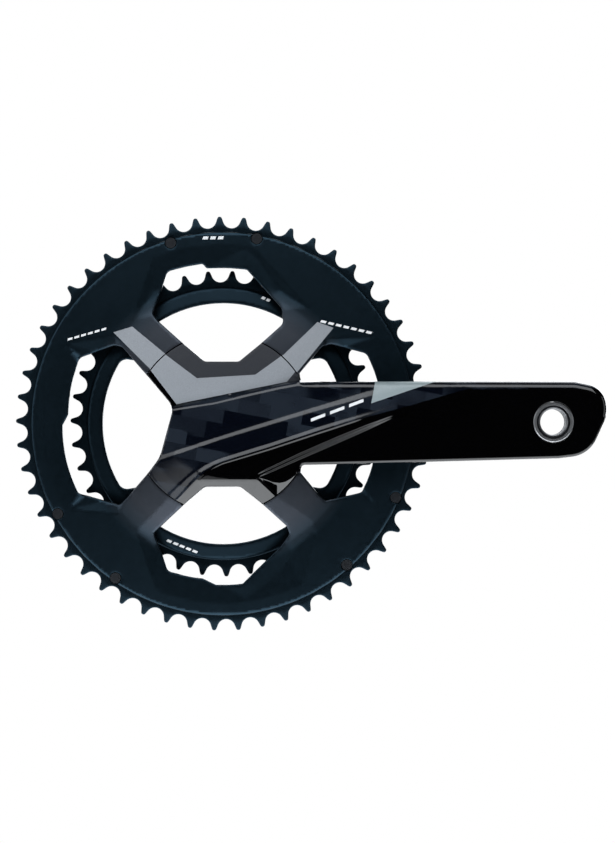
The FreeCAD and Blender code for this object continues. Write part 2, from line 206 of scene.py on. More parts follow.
class Near:
    """Distances from any points to a fixed set of points."""

    def __init__(self, targets):
        self.tree = kdtree.KDTree(max(1, len(targets)))
        for i, (x, z) in enumerate(targets):
            self.tree.insert((x, z, 0.0), i)
        if len(targets) == 0:
            self.tree.insert((1e6, 1e6, 0.0), 0)
        self.tree.balance()

    def __call__(self, points):
        return np.array([self.tree.find((x, z, 0.0))[2] for x, z in points])


def left_of(p, start, end):
    """Signed distance of points from a line, positive on its left."""
    along = unit(np.array(end, float) - np.array(start, float))
    return along[0] * (p[:, 1] - start[1]) - along[1] * (p[:, 0] - start[0])


def ramp(value, low, high):
    """0 at low, 1 at high, smooth in between."""
    t = np.clip((value - low) / (high - low), 0, 1)
    return t * t * (3 - 2 * t)


def table(x, rows, column):
    """A column of rows read at x, by straight lines between the rows."""
    return np.interp(x, [r[0] for r in rows], [r[column] for r in rows])


# ------------------------------------------------------------ plates

class Edge:
    """How a plate's front falls away near part of its outline."""

    def __init__(self, width, depth):
        self.width = width
        self.depth = depth

    def drop(self, d):
        t = np.clip(d / self.width, 0, 1)
        return self.depth * (1 - np.sqrt(1 - (1 - t) ** 2))

    def steps(self):
        return tuple(self.width * f for f in (0.08, 0.3, 0.62, 1.0))


def sheet_mesh(loops, creases, spacing, height, edges, pick):
    """A triangulated surface inside the loops: (points, heights, triangles, boundary ids).

    edges is a list of Edge, and pick(points) says which one each outline point has.
    """
    outline = np.concatenate(loops)
    dense = np.concatenate([divided(list(loop), 0.2) for loop in loops])
    kind = pick(dense)
    border = Near(dense)
    near = [Near(dense[kind == k]) for k in range(len(edges))]
    on_lines = Near(np.concatenate(creases)) if creases else Near([])
    kept = []
    for loop in loops:
        normal = np.roll(loop, -1, axis=0) - np.roll(loop, 1, axis=0)
        normal = np.stack([-normal[:, 1], normal[:, 0]], axis=1)
        normal /= np.linalg.norm(normal, axis=1)[:, None]
        own = pick(loop)
        for k, edge in enumerate(edges):
            for d in edge.steps():
                row = loop[own == k] + normal[own == k] * d
                if len(row) == 0:
                    continue
                row = row[border(row) > 0.94 * d - 0.02]
                row = row[on_lines(row) > 0.2] if len(row) else row
                kept.append(row[inside(row, loops)])
    low, high = outline.min(axis=0), outline.max(axis=0)
    xs = np.arange(low[0], high[0], spacing)
    zs = np.arange(low[1], high[1], spacing * math.sqrt(3) / 2)
    grid = np.array([(x + spacing / 2 * (j % 2), z) for j, z in enumerate(zs) for x in xs])
    grid = grid[inside(grid, loops)]
    reach = border(grid)
    clear = reach > 0.6 * spacing
    for k, edge in enumerate(edges):
        close = clear & (reach < edge.width + 0.35 * spacing)
        clear[close] = near[k](grid[close]) > edge.width + 0.35 * spacing
    grid = grid[clear]
    kept.append(grid[on_lines(grid) > 0.45 * spacing])
    points = [Vector(p) for p in outline]
    constraints = []
    start = 0
    for loop in loops:
        constraints += [(start + i, start + (i + 1) % len(loop)) for i in range(len(loop))]
        start += len(loop)
    for line in creases:
        ok = inside(line, loops) & (border(line) > 0.12)
        for here, ahead, both in zip(line, line[1:], ok[1:] & ok[:-1]):
            if both:
                constraints.append((len(points), len(points) + 1))
                points += [Vector(here), Vector(ahead)]
    points += [Vector(p) for p in np.concatenate(kept)]
    flat, _, faces, origin, _, _ = delaunay_2d_cdt(points, constraints, [], 0, 1e-5)
    flat = np.array([tuple(p) for p in flat])
    faces = np.array([f for f in faces if len(f) == 3])
    faces = faces[inside(flat[faces].mean(axis=1), loops)]
    a = flat[faces[:, 1]] - flat[faces[:, 0]]
    b = flat[faces[:, 2]] - flat[faces[:, 0]]
    signed = a[:, 0] * b[:, 1] - a[:, 1] * b[:, 0]
    faces = faces[np.abs(signed) > 1e-7]
    signed = signed[np.abs(signed) > 1e-7]
    faces[signed < 0] = faces[signed < 0][:, ::-1]
    new_id = {o: i for i, originals in enumerate(origin) for o in originals}
    boundary = []
    start = 0
    for loop in loops:
        boundary.append([new_id[start + i] for i in range(len(loop))])
        start += len(loop)
    reach = border(flat)
    fall = np.zeros(len(flat))
    for k, edge in enumerate(edges):
        close = reach < edge.width
        fall[close] = np.maximum(fall[close], edge.drop(near[k](flat[close])))
    return flat, height(flat) - fall, faces, boundary


def plate(name, outer, holes, front, back, edges, pick, creases=(), back_creases=(),
          spacing=1.0, back_spacing=2.5, back_edge=0.5, zone=None, materials=(), trim=0,
          seam=0):
    """A solid plate: sculpted front, plainer back, and walls between them.

    zone(points) gives the material slot of front faces; walls and back take slot trim,
    except for the walls along the seam, which take slot seam: painted shade in the seam.
    """
    loops = [outer if area(outer) > 0 else outer[::-1]]
    loops += [hole if area(hole) < 0 else hole[::-1] for hole in holes]
    front_side = sheet_mesh(loops, creases, spacing, front, edges, pick)
    soft = [Edge(back_edge, back_edge)]
    back_side = sheet_mesh(loops, back_creases, back_spacing, lambda p: -back(p), soft,
                           lambda p: np.zeros(len(p), int))
    flat_f, high_f, faces_f, border_f = front_side
    flat_b, high_b, faces_b, border_b = back_side
    verts = [(x * MM, -h * MM, z * MM) for (x, z), h in zip(flat_f, high_f)]
    base = len(verts)
    verts += [(x * MM, h * MM, z * MM) for (x, z), h in zip(flat_b, high_b)]
    faces = [tuple(f) for f in faces_f]
    slots = list(zone(flat_f[faces_f].mean(axis=1))) if zone else [trim] * len(faces)
    faces += [tuple(base + f[::-1]) for f in faces_b]
    slots += [trim] * len(faces_b)
    for loop, loop_f, loop_b in zip(loops, border_f, border_b):
        shut = on_seam(loop)
        for i in range(len(loop_f)):
            j = (i + 1) % len(loop_f)
            faces.append((loop_f[i], base + loop_b[i], base + loop_b[j], loop_f[j]))
            # walls along the seam get painted shade
            slots.append(seam if shut[i] and shut[j] else trim)
    return mesh_object(name, verts, faces, materials, slots)


def mesh_object(name, verts, faces, materials, slots=None, sharp=35.0):
    mesh = bpy.data.meshes.new(name)
    mesh.from_pydata(verts, [], [tuple(int(i) for i in f) for f in faces])
    for m in materials:
        mesh.materials.append(m)
    if slots is not None:
        mesh.polygons.foreach_set("material_index", np.array(slots, np.int32))
    mesh.polygons.foreach_set("use_smooth", np.ones(len(mesh.polygons), bool))
    mesh.validate()
    mesh.set_sharp_from_angle(angle=math.radians(sharp))
    mesh.update()
    obj = bpy.data.objects.new(name, mesh)
    bpy.context.collection.objects.link(obj)
    return obj


def lathe(name, profile, materials, slots=None, x=0.0, z=0.0, count=96, sharp=25.0):
    """A closed profile of (radius, height) points turned about the line (x, z)."""
    verts = []
    for j in range(count):
        c, s = polar(1.0, 360.0 * j / count)
        verts += [((x + r * c) * MM, -h * MM, (z + r * s) * MM) for r, h in profile]
    size = len(profile)
    faces = []
    marks = []
    for j in range(count):
        k = (j + 1) % count
        for i in range(size):
            n = (i + 1) % size
            faces.append((j * size + i, k * size + i, k * size + n, j * size + n))
            marks.append(slots[i] if slots else 0)
    return mesh_object(name, verts, faces, materials, marks, sharp)


def join(first, others):
    """All in one object, as loose parts."""
    bpy.ops.object.select_all(action="DESELECT")
    for o in [first] + others:
        o.select_set(True)
    bpy.context.view_layer.objects.active = first
    bpy.ops.object.join()
    return first


# ------------------------------------------------------------ outlines

SEAM = {
    "right_top": (40.7, 26.4), "top_right": (20.9, 42.5),
    "top_left": (-20.5, 42.3), "left_top": (-40.2, 26.2),
    "left_low": (-39.9, -26.5), "low_left": (-21.1, -43.1),
    "low_right": (21.4, -43.0), "right_low": (41.1, -26.0),
}


def seam_arc(start, end, radius):
    a = math.degrees(math.atan2(start[1], start[0])) % 360
    b = math.degrees(math.atan2(end[1], end[0])) % 360
    return [polar(radius, a + (b - a) * i / 24) for i in range(1, 24)]


def ring_window_corners():
    """The outer ring's inner edge: four stepped windows between four covers."""
    s = SEAM
    top = [
        s["top_right"], (32.2, 52.6, 4.0), (31.2, 60.9, 4.0), (13.0, 81.2, 2.0),
        bow(WINDOW_NEAR_R, 82, 94), (-8.2, 82.0, 1.5), (-10.3, 84.4, 1.5),
        bow(WINDOW_FAR_R, 98, 108), (-28.9, 80.4, 3.5), (-32.5, 69.5, 12.0),
        (-36.8, 58.0, 2.5), (-33.8, 54.3), s["top_left"],
    ]
    left = [
        s["left_top"], (-52.8, 40.6, 3.0), (-57.0, 41.6, 4.0), (-75.6, 35.0, 4.0),
        bow(WINDOW_NEAR_R, 157, 176), (-81.6, 5.2, 1.5), (-84.6, -0.3, 2.0),
        bow(WINDOW_FAR_R, 181, 204), (-76.4, -36.3, 2.5), (-54.6, -42.6, 3.0),
        (-50.3, -38.4, 3.0), s["left_low"],
    ]
    low = [
        s["low_left"], (-33.6, -54.7), (-36.8, -57.5, 2.0), (-31.7, -70.6, 12.0),
        (-29.5, -77.6, 3.5), bow(WINDOW_NEAR_R + 0.6, 251, 262), (-10.6, -81.8, 2.0),
        (-4.1, -85.0, 2.0), bow(WINDOW_FAR_R + 0.2, 268, 276), (10.0, -84.5, 2.0),
        (30.2, -64.8, 4.0), (34.9, -58.4, 3.0), (33.2, -53.9, 2.0), s["low_right"],
    ]
    right = [
        s["right_low"], (51.0, -38.3, 3.0), (54.1, -41.0, 3.0), (73.2, -36.6, 3.0),
        bow(WINDOW_NEAR_R, -25, -6), (81.8, -3.0, 1.5), (84.6, 2.0, 2.0),
        bow(WINDOW_FAR_R, 4, 23), (76.0, 36.6, 4.0), (57.4, 41.6, 4.0),
        (52.6, 40.4, 3.0), s["right_top"],
    ]
    covers = SEAM_R + SEAM_GAP
    corners = top
    corners += seam_arc(s["top_left"], s["left_top"], covers) + left
    corners += seam_arc(s["left_low"], s["low_left"], covers) + low
    corners += seam_arc(s["low_right"], s["right_low"], covers) + right
    corners += seam_arc(s["right_top"], s["top_right"], covers)
    return corners


def arm_corners():
    """The crank arm with the hub and the four short spider arms."""
    s = SEAM
    end = SEAM_R - SEAM_GAP
    corners = [s["right_top"]]
    corners += seam_arc(s["right_top"], s["top_right"], end)
    corners += [s["top_right"], (8.8, 32.6, 3.0), (-9.2, 32.7, 3.0), s["top_left"]]
    corners += seam_arc(s["top_left"], s["left_top"], end)
    corners += [s["left_top"], (-25.6, 8.8, 8.0), (-33.0, -17.5, 20.0), s["left_low"]]
    corners += seam_arc(s["left_low"], s["low_left"], end)
    corners += [s["low_left"], (-9.3, -33.2, 4.0), (9.2, -33.2, 4.0), s["low_right"]]
    corners += seam_arc(s["low_right"], s["right_low"], end)
    corners += [
        s["right_low"], (41.3, -21.8, 2.0), (60.0, -21.5, 20.0), (175.0, -18.9, 12.0),
        (191.0, -17.1, 16.0), (201.1, 4.7, 17.0), (198.5, 17.8, 11.5), (184.0, 20.9, 15.0),
        (120.0, 21.4, 20.0), (41.2, 21.9, 2.5),
    ]
    return corners


def tooth_loop(teeth, root, tip, phase):
    """The chainring's toothed edge."""
    pitch = 360.0 / teeth
    points = []
    for k in range(teeth):
        gap = phase + (k + 0.5) * pitch
        for j in range(-6, 7):
            a = math.radians(SEAT_ANGLE * j / 6)
            radial = root + SEAT_RADIUS * (1 - math.cos(a))
            side = SEAT_RADIUS * math.sin(a)
            turn = gap + math.degrees(math.atan2(side, radial))
            points.append(np.array(polar(math.hypot(radial, side), turn)))
        peak = gap + pitch / 2
        half = math.degrees(TIP_HALF_WIDTH / tip)
        for r, f in ((tip - 1.1, -1.75), (tip - 0.35, -1.25), (tip, -0.55),
                     (tip, 0.55), (tip - 0.35, 1.25), (tip - 1.1, 1.75)):
            points.append(np.array(polar(r, peak + half * f)))
    return divided(points, 0.8)


def inner_window_corners():
    """The inner ring's inner edge with its four fastening tabs."""
    small = [(63.0, -10.4), (60.5, -9.6, 2.0), (52.0, -8.8, 4.0), (46.5, -6.2, 4.0)]
    wide = [(46.5, 6.2, 4.0), (52.0, 8.8, 4.0), (61.3, 16.2, 5.0), (60.9, 19.4)]
    corners = []
    for angle, wide_side in zip(BOLT_ANGLES, (-1, 1, -1, 1)):
        tab = small + wide
        if wide_side < 0:
            tab = [(c[0], -c[1]) + tuple(c[2:]) for c in reversed(tab)]
        tab = turned_points(tab, angle)
        first = math.degrees(math.atan2(tab[0][1], tab[0][0])) % 360
        if corners:
            last = math.degrees(math.atan2(corners[-1][1], corners[-1][0])) % 360
            corners += arc_points(INNER_EDGE_R, last, first)
        corners += tab
    last = math.degrees(math.atan2(corners[-1][1], corners[-1][0])) % 360
    first = math.degrees(math.atan2(corners[0][1], corners[0][0])) % 360
    return corners + arc_points(INNER_EDGE_R, last, first + 360)


def arc_points(radius, start, end, step=1.0):
    count = max(2, math.ceil(radius * math.radians(end - start) / step))
    return [polar(radius, start + (end - start) * i / count) for i in range(1, count)]


# ------------------------------------------------------------ crank arm surface

# Steps of the sculpted front. Each row is (x, upper z, lower z, height of the step).
TOP_STEP = [
    (-30, 8.7, 7.6), (-24, 9.9, 8.8), (34, 21.6, 20.5), (40, 22.6, 21.4), (60, 23.2, 22.0),
    (80, 24.0, 22.8),
]
VALLEY = [
    (-32, 6.8, 5.4, 0), (-24.6, 8.2, 6.8, 0.3), (-4.2, 11.4, 9.8, 0.34), (14.7, 15.9, 14.2, 0.38),
    (29.8, 19.3, 17.5, 0.40), (41, 21.4, 19.4, 0.4), (56, 23.2, 20.2, 0.4), (80, 24.0, 21.5, 0),
]
MIDDLE_RIDGE = [
    (-36, -17.0, -20.4, 1.3), (-30, -15.2, -18.6, 1.2), (-15, -10.4, -13.8, 0.95),
    (0, -5.5, -8.9, 0.8), (25, 2.1, -1.5, 0.8), (50, 9.7, 5.7, 0.85), (75, 17.3, 12.3, 0.95),
    (95, 22.7, 17.1, 0.45), (112, 26, 21.0, 0),
]
LOW_RIDGE = [
    (-36, -43, -53, 1.7), (-28.4, -35.4, -45.4, 1.7), (-23, -30.6, -39.4, 1.65),
    (-17, -25.6, -32.4, 1.5), (-13.2, -22.9, -28.6, 1.4), (-9, -20.8, -25.0, 1.25),
    (-4, -18.8, -21.9, 1.1), (0, -17.5, -20.1, 1.0), (25, -10.1, -12.5, 0.8),
    (50, -1.8, -4.3, 0.75), (75, 6.2, 2.8, 0.52), (100, 13.9, 9.5, 0.25), (128, 21.5, 17.5, 0),
]
LOW_RIDGE_LIP = [
    (-13, -29.8, -30.6, 0), (-5, -23.0, -23.9, 0.22), (0, -20.6, -21.5, 0.36),
    (25, -13.1, -14.1, 0.38), (50, -4.9, -6.0, 0.4), (68, 1.0, -0.4, 0.32), (82, 5.4, 4.0, 0),
]
FIN = [
    (17, -26.9, -27.6, 0), (23, -23.9, -24.8, 0.6), (40, -15.9, -17.0, 0.75),
    (60, -7.3, -8.6, 0.85), (75, -1.2, -2.6, 0.75), (92, 5.2, 4.4, 0),
]
FIN_LIP = [
    (18, -28.1, -28.8, 0), (24, -25.3, -26.2, 0.6), (40, -18.0, -19.2, 0.75),
    (60, -9.1, -10.6, 0.9), (75, -2.7, -4.1, 0.75), (92, 4.3, 3.4, 0),
]
RIDGES = (VALLEY, MIDDLE_RIDGE, LOW_RIDGE, LOW_RIDGE_LIP, FIN, FIN_LIP)
RIDGE_LAYERS = 5
RIDGE_DROP = 0.8

# Rims from which the front falls away below: a notch between the two lower spider arms,
# and a crescent beside the crank arm, (x, z).
GROOVE = ((18.5, -29.6), (29.3, -39.8))
GROOVE_WIDTH = 1.5
NOTCH = [*GROOVE[::-1], (-13.6, -29.6), (-25.3, -41.2)]
NOTCH_SLOPE = 0.72
CRESCENT = [(20, -28.6), (23.4, -29.6), (26.5, -30.8), (30, -31.2), (33, -30.6), (36, -28.9),
            (40, -25.6), (44, -21.0)]
CRESCENT_SLOPE = 0.84

DOME = ([0, 16, 30, 40, 47, 50], [59.8, 59.5, 58.3, 57.1, 56.0, 55.5])
HUB_THICKNESS = ([0, 28, 46], [3.1, 3.1, 1.4])
HUB_LEVEL = 62.9
ARM_RISE = 10.0


def spider_level(p):
    return np.interp(np.hypot(p[:, 0], p[:, 1]), *DOME)


def raised_level(p):
    """The raised body of the arm with its ridges, before the rim falls away."""
    x, z = p[:, 0], p[:, 1]
    hub = spider_level(p) + np.interp(np.hypot(x, z), *HUB_THICKNESS)
    arm = HUB_LEVEL + ARM_RISE * ramp(x, 15, 165) - 0.0004 * z ** 2
    level = hub + np.clip(arm - hub, 0, None) * ramp(x, -12, 30)
    for ridge in RIDGES:
        upper, lower, height = (table(x, ridge, column) for column in (1, 2, 3))
        level += np.clip(height - RIDGE_DROP, 0, None) - height * ramp(z, lower, upper)
    return level


SPIDER_BACK = 47.4            # outside the hub
ARM_BACK = ((44.0, SPIDER_BACK), (52.0, 56.0), (110.0, 57.5), (145.0, ARM_INNER_FACE))


def arm_front(p):
    x, z = p[:, 0], p[:, 1]
    spider = spider_level(p)
    notch = np.min([left_of(p, a, b) for a, b in zip(NOTCH, NOTCH[1:])], axis=0)
    below = np.where(x < CRESCENT[-1][0], table(x, CRESCENT, 1) - z, 0)
    crescent = below * CRESCENT_SLOPE * ramp(left_of(p, *GROOVE), 0.0, GROOVE_WIDTH)
    raised = raised_level(p) - np.clip(np.maximum(notch * NOTCH_SLOPE, crescent), 0, None)
    upper, lower = table(x, TOP_STEP, 1), table(x, TOP_STEP, 2)
    share = 1 - np.clip((z - lower) / (upper - lower), 0, 1)
    return spider + (raised - spider) * share


def arm_back(p):
    x, z = p[:, 0], p[:, 1]
    r = np.hypot(x, z)
    hub = np.interp(r, [HUB_BACK_R, HUB_BACK_R + 1.0], [HUB_BACK, SPIDER_BACK])
    return np.where(x > ARM_BACK[0][0], table(x, ARM_BACK, 1), hub)


SILVER_V = [
    (-37.9, 28.6), (-30.1, 36.7), (-13.2, 23.9), (17.4, 25.6), (31.4, 35.6),
    (38.7, 27.6), (34.0, 21.8), (-24.0, 10.3),
]
SILVER_RIM = [(-24.0, 10.3), (-37.9, 28.6), (-43.0, 26.0), (-27.0, 6.0), (40.0, 20.0), (34.0, 21.8)]
PALE_WEDGE = [(80.7, 24.0), (78.0, 10.2), (111.0, 21.2), (111.0, 24.0)]
COVER_STRIPES = (
    [(-57.4, 48.4), (-47.4, 51.4), (-29.0, 36.1), (-36.8, 27.8)],
    [(31.0, 34.8), (50.2, 53.3), (58.6, 50.2), (39.2, 26.6)],
)


SEAM_CLEAR_Z = 23.0           # every seam is farther than this above or below the axis


def on_seam(p):
    near = np.abs(np.hypot(p[:, 0], p[:, 1]) - SEAM_R) < SEAM_LINE
    return near & (np.abs(p[:, 1]) > SEAM_CLEAR_Z)


CHARCOAL_END_X = 41.0
GROOVE_SHADE_END_X = 32.0


def arm_zone(p):
    """Slots: 0 satin carbon, 1 gloss black, 2 charcoal, 3 silver, 4 pale, 5 painted shade of the seam
    and the groove.
    """
    x, z = p[:, 0], p[:, 1]
    slots = np.ones(len(p), int)
    slots[z > table(x, LOW_RIDGE, 2)] = 0
    slots[(z > table(x, TOP_STEP, 1)) & (x < CHARCOAL_END_X)] = 2
    slots[inside(p, [np.array(SILVER_RIM)])] = 1
    slots[(z < table(x, TOP_STEP, 1)) & (z > table(x, LOW_RIDGE, 2))] = 0
    slots[inside(p, [np.array(SILVER_V)])] = 3
    slots[inside(p, [np.array(PALE_WEDGE)])] = 4
    # The groove beside the crescent is painted with shade (slot 5), and so is a thin line along the
    # seam.
    beside = left_of(p, *GROOVE)
    groove_shade_mask = (beside > 0) & (beside < GROOVE_WIDTH) & (x < GROOVE_SHADE_END_X)
    slots[groove_shade_mask & (z < table(x, CRESCENT, 1))] = 5
    slots[on_seam(p)] = 5
    return slots


def ridge_creases():
    """Lines along each ridge, so that the mesh turns exactly there."""
    lines = []
    xs = np.arange(-44, 130, 0.7)
    for ridge in RIDGES:
        first, last = ridge[0][0], ridge[-1][0]
        x = xs[(xs >= first) & (xs <= last)]
        for share in np.linspace(0, 1, RIDGE_LAYERS):
            z = table(x, ridge, 1) * (1 - share) + table(x, ridge, 2) * share
            lines.append(np.stack([x, z], axis=1))
    x = xs[(xs > -30) & (xs < 60)]
    for column in (1, 2):
        lines.append(np.stack([x, table(x, TOP_STEP, column)], axis=1))
    lines += [polyline(NOTCH), polyline(CRESCENT)]
    across = unit(np.subtract(*GROOVE))[::-1] * (1, -1)
    lines += [polyline([np.array(end) + across * d for end in GROOVE]) for d in (0.5, 1, 1.5, 2)]
    for outline in (SILVER_V, PALE_WEDGE):
        lines.append(polyline(outline + outline[:1]))
    return lines


SPIDER_EDGE_R = SEAM_R + 3.0
ARM_EDGE_R = 44.0             # the arm's own edges start at this radius,
ARM_EDGE_Z = 24.0             # within this height of the axis,
BOTTOM_EDGE_Z = 3.0           # and the bottom one is below this
ON_OUTLINE = 0.06             # a point this near an outline is on it


def pick_arm_edge(p):
    """Edges: 0 top of the arm, 1 seam, 2 spider, 3 pedal hole, 4 bottom of the arm."""
    x, z = p[:, 0], p[:, 1]
    r = np.hypot(x, z)
    kind = np.zeros(len(p), int)
    kind[r < SPIDER_EDGE_R] = 2
    kind[(np.abs(r - SEAM_R + SEAM_GAP) < ON_OUTLINE) & (np.abs(z) > ARM_EDGE_Z)] = 1
    arm = (r >= ARM_EDGE_R) & (np.abs(z) < ARM_EDGE_Z) & (x > 0)
    kind[arm] = 0
    kind[arm & (z < BOTTOM_EDGE_Z)] = 4
    kind[np.hypot(x - CRANK_LENGTH, z) < PEDAL_RIM_R + 1] = 3
    return kind


def build_crank_arm(m):
    outer = rounded(arm_corners())
    hole = circle(PEDAL_RIM_R + 0.1, CRANK_LENGTH)
    edges = [Edge(3.3, 3.3), Edge(0.25, 0.2), Edge(0.5, 1.4), Edge(0.35, 0.35), Edge(1.4, 1.5)]
    arm = plate(
        "crank_arm_body", outer, [hole], arm_front, arm_back, edges, pick_arm_edge,
        creases=ridge_creases(), spacing=0.9, back_edge=1.5, zone=arm_zone,
        back_creases=[circle(HUB_BACK_R), circle(HUB_BACK_R + 1), polyline([(44, -21), (44, 21)]),
                      polyline([(52, -21), (52, 21)])],
        materials=(m["satin_carbon"], m["gloss_black"], m["charcoal"], m["silver"], m["pale"],
                   m["seam_shadow"]),
        trim=1, seam=5)
    tabs = []
    for angle in BOLT_ANGLES:
        corners = turned_points([(36, -9), (62, -9, 6.0), (62, 9, 6.0), (36, 9)], angle)
        hole = circle(BOLT_HOLE_R, *polar(BOLT_CIRCLE_R, angle))
        tabs.append(plate(
            "tab", rounded(corners, 1.5), [hole], lambda p: np.full(len(p), COVER_BACK + 0.02),
            lambda p: np.full(len(p), TAB_BACK), [Edge(0.4, 0.4)],
            lambda p: np.zeros(len(p), int), spacing=3.0, materials=(m["gloss_black"],)))
    arm = join(arm, tabs)
    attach(arm, "crank")
    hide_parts("crank_arm")
    return arm


# ------------------------------------------------------------ chainrings

# Facets of the covers. Each is a list of (start, end, slope): the front falls with that
# slope on the left of each line, and the shallowest fall counts.
FACETS = [
    [((-36.8, 86), (-47, 55), 0.2), ((-47, 55), (-36.5, 56.8), 0.08), ((14, 60), (14, 90), 0.04)],
    [((33, 60.2), (46.2, 60.2), 0.08), ((46.2, 60.2), (31.7, 76.2), 0.2), ((10, 90), (10, 60), 0.04)],
    [((-75.6, 34.5), (-84, 42.5), 0.4), ((-81.5, -45), (-75.6, -38.3), 0.4)],
    [((-57, 47.3), (-84, 42.5), 0.16), ((-84, 42.5), (-75.6, 34.5), 0.4),
     ((-53, 41), (-57, 47.3), 0.4)],
    [((-81.5, -45), (-55, -47.5), 0.2), ((-75.6, -38.3), (-81.5, -45), 0.4),
     ((-55, -47.5), (-53, -42), 0.4)],
    [((-28.8, -39), (-45.4, -56), 0.12), ((-45.4, -58.7), (-35.2, -88), 0.22),
     ((14, -90), (14, -60), 0.04)],
    [((46.4, -50.4), (29, -39.1), 0.05), ((49.5, -58.5), (46.4, -50.4), 0.3),
     ((40, -90), (49.5, -58.5), 0.1), ((10, -60), (10, -90), 0.04)],
    [((84.5, 43.5), (80, 45.6), 0.3), ((80, 45.6), (53, 44.2), 0.25),
     ((53, 44.2), (53.5, 40), 0.4), ((50, 20), (90, 20), 0.1)],
    [((84.5, 43.5), (76, 36.6), 0.4), ((73.2, -36.6), (81, -44), 0.4)],
]
SEAM_LINE = 0.3               # half the width of the painted shade line along the seam
COVER_BACK_R = 86.0           # steps on the backs of the outer and the inner ring
INNER_TAB_R = 62.0
STEP_WIDTH = 0.1
DISH_R = 94.5
DISH_SLOPE = 0.07
RING_PROFILE = (
    [47.2, 56, 64, 71, 76, 100.6, 101.0, 101.3], [56.0, 54.6, 53.3, 52.1, 51.65, 50.6, 50.3, 49.5])


def ring_front(p):
    r = np.hypot(p[:, 0], p[:, 1])
    level = np.interp(r, *RING_PROFILE)
    dish = np.clip(DISH_R - r, 0, None) * DISH_SLOPE
    fall = np.zeros(len(p))
    for facet in FACETS:
        own = np.min([left_of(p, start, end) * slope for start, end, slope in facet], axis=0)
        fall = np.maximum(fall, np.minimum(own, dish))
    band = np.interp(r, [OUTER_ROOT + 1.0, OUTER_TIP], [RING_BAND_FRONT, RING_TIP_FRONT])
    return np.where(r > OUTER_BODY_R + 0.02, band, np.maximum(level - fall, COVER_LOWEST))


def ring_back(p):
    r = np.hypot(p[:, 0], p[:, 1])
    band = np.interp(r, [OUTER_ROOT + 1.0, OUTER_TIP], [RING_BACK, RING_TIP_BACK])
    return np.where(r < COVER_BACK_R - STEP_WIDTH / 2, COVER_BACK, band)


PIN_EDGES_FROM = 95.0         # the edges of the pin holes are outside this radius


def pick_ring_edge(p):
    """Edges: 0 teeth, 1 window, 2 seam, 3 pin hole."""
    r = np.hypot(p[:, 0], p[:, 1])
    kind = np.ones(len(p), int)
    kind[r > PIN_EDGES_FROM] = 3
    kind[r > OUTER_BODY_R + 1.5] = 0
    kind[np.abs(r - SEAM_R - SEAM_GAP) < ON_OUTLINE] = 2
    return kind


def ring_zone(p):
    """Slots: 0 anodised, 1 silver stripe, 2 painted shade of the seam."""
    slots = np.zeros(len(p), int)
    for stripe in COVER_STRIPES:
        slots[inside(p, [np.array(stripe)])] = 1
    # a thin line along the seam gets painted shade
    slots[on_seam(p)] = 2
    return slots


def build_outer_ring(m):
    outer = tooth_loop(OUTER_TEETH, OUTER_ROOT, OUTER_TIP, OUTER_PHASE)
    window = rounded(ring_window_corners())
    pins = [circle(PIN_HOLE_R, *polar(PIN_CIRCLE_R, a), step=0.5) for a in PIN_ANGLES]
    steps = (*range(52, 81, 4), DISH_R, 100.6, 101.0, OUTER_BODY_R, OUTER_BODY_R + 0.05)
    creases = [closed_circle(r) for r in steps]
    creases += [polyline(line[:2]) for facet in FACETS for line in facet]
    creases += [polyline(list(stripe) + stripe[:1]) for stripe in COVER_STRIPES]
    edges = [Edge(0.45, 0.3), Edge(0.6, 1.1), Edge(0.25, 0.2), Edge(0.4, 0.4)]
    ring = plate(
        "outer_ring", outer, [window] + pins, ring_front, ring_back, edges, pick_ring_edge,
        creases=creases, spacing=1.3, back_edge=0.4, zone=ring_zone,
        back_creases=[closed_circle(r)
                      for r in (COVER_BACK_R, COVER_BACK_R - STEP_WIDTH, OUTER_ROOT)],
        materials=(m["anodised"], m["silver"], m["seam_shadow"]), seam=2)
    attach(ring, "crank")
    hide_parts("outer_chainring")
    return ring


SEAM_SPANS = ((33.4, 63.4), (116.3, 146.5), (214.0, 243.5), (296.9, 327.3))
SEAM_LIP_REACH = 0.8
SEAM_LIP_FRONT = 51.5
SEAM_LIP_BACK = 50.5


def build_seam_lips(m):
    """Bars inside the spider and the covers that bridge the seams and keep light out, coloured
    near-black as painted shade of the seams.
    """
    near, far = SEAM_R - SEAM_LIP_REACH, SEAM_R + SEAM_LIP_REACH
    section = ((near, SEAM_LIP_FRONT), (far, SEAM_LIP_FRONT),
               (far, SEAM_LIP_BACK), (near, SEAM_LIP_BACK))
    lips = []
    steps = 30
    for span in SEAM_SPANS:
        verts = []
        for angle in np.linspace(*span, steps + 1):
            for radius, depth in section:
                x, z = polar(radius, angle)
                verts.append((x * MM, -depth * MM, z * MM))
        faces = [(4 * k + i, 4 * k + (i + 1) % 4, 4 * k + 4 + (i + 1) % 4, 4 * k + 4 + i)
                 for k in range(steps) for i in range(4)]
        faces += [(3, 2, 1, 0), tuple(4 * steps + i for i in range(4))]
        lips.append(mesh_object("seam_shade_lip", verts, faces, (m["seam_shadow"],)))
    joined = join(lips[0], lips[1:])
    joined.name = "seam_shade_lips"
    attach(joined, "crank")


def inner_front(p):
    r = np.hypot(p[:, 0], p[:, 1])
    body = np.interp(r, [INNER_TAB_R, INNER_TAB_R + 0.4, 64.9, INNER_BODY_R - 0.8, INNER_BODY_R],
                     [TAB_BACK, 43.8, 43.8, 42.6, 41.8])
    band = np.interp(r, [INNER_ROOT + 1.0, INNER_TIP], [INNER_BAND_FRONT, INNER_TIP_FRONT])
    return np.where(r > INNER_BODY_R + 0.02, band, body)


def inner_back(p):
    r = np.hypot(p[:, 0], p[:, 1])
    band = np.interp(r, [INNER_ROOT + 1.0, INNER_TIP], [INNER_BACK, INNER_TIP_BACK])
    return np.where(r < INNER_TAB_R - STEP_WIDTH / 2, INNER_TAB_BACK, band)


def pick_inner_edge(p):
    r = np.hypot(p[:, 0], p[:, 1])
    return np.where(r > INNER_BODY_R + 1.5, 0, 1)


